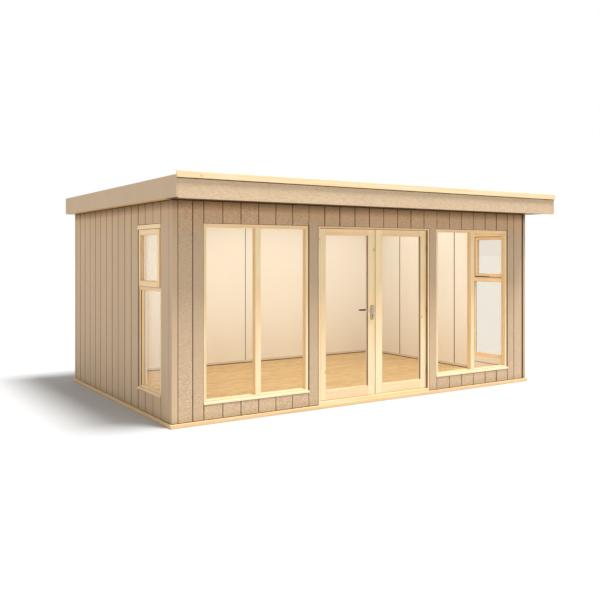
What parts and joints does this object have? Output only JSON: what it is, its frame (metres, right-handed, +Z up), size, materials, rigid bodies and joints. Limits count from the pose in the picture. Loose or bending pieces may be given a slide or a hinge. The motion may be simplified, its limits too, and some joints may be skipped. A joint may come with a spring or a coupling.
{
  "type": "garden room",
  "caption": "Flat-roofed timber garden room with glazed double doors between tall front windows, a tall window in each side wall, a front eave and a hollow lined interior",
  "frame": {"origin": "centre of the underside of the base, on the ground", "axes": "+X to the right along the front, +Y from the front to the back, +Z up"},
  "size_m": [5.372, 3.732, 2.501],
  "materials": {
    "cladding": "embossed vertical boards, light tan stain",
    "fascia": "smooth, light tan stain",
    "pine": "clear pale pine",
    "panel": "insulated timber panel",
    "oak_floor": "light oak boards",
    "lining": "smooth cream panels",
    "roof_sheet": "matt single-ply sheet",
    "glass": "clear sealed glazing",
    "satin_metal": "satin",
    "hinge_metal": "bronzed",
    "dark_metal": "dark, semi-matt"
  },
  "bodies": {
    "room": {"front_wall_left": "cladding", "front_wall_right": "cladding", "front_wall_head": "cladding", "left_wall": "cladding", "right_wall": "cladding", "back_wall": "cladding", "corner_posts": "cladding", "front_fascia": "fascia", "left_fascia": "fascia", "right_fascia": "fascia", "back_fascia": "fascia", "plinth": "pine", "front_trim": "pine", "left_front_frame": "pine", "right_front_frame": "pine", "left_side_frame": "pine", "left_side_light": "pine", "right_side_frame": "pine", "right_side_light": "pine", "front_sills": "pine", "side_sills": "pine", "door_frame": "pine", "soffits": "pine", "floor_panel": "panel", "roof_panel": "panel", "floor_boards": "oak_floor", "front_lining": "lining", "left_lining": "lining", "right_lining": "lining", "back_lining": "lining", "ceiling": "lining", "skirting": "lining", "roof_sheet": "roof_sheet", "left_front_glass": "glass", "right_front_glass": "glass", "left_side_glass": "glass", "right_side_glass": "glass", "frame_hinges": "hinge_metal", "casement_stays": "dark_metal"},
    "left_door": {"left_door": "pine", "left_door_glass": "glass", "left_door_hinges": "hinge_metal", "lock_set": "satin_metal"},
    "levers": {"levers": "satin_metal"},
    "right_door": {"right_door": "pine", "right_door_glass": "glass", "right_door_hinges": "hinge_metal"}
  },
  "joints": [
    {"name": "left_door_hinge", "type": "hinge", "parent": "room", "child": "left_door", "pos_m": [-0.7957, -1.6283, 0], "axis": [0, 0, -1], "range_deg": [0, 90]},
    {"name": "lever_turn", "type": "hinge", "parent": "left_door", "child": "levers", "pos_m": [-0.046, -1.622, 1.062], "axis": [0, -1, 0], "range_deg": [0, 40], "stiffness_Nm_per_rad": 1, "springref_deg": -28.65},
    {"name": "right_door_hinge", "type": "hinge", "parent": "room", "child": "right_door", "pos_m": [0.7957, -1.6283, 0], "axis": [0, 0, 1], "range_deg": [0, 90]}
  ]
}
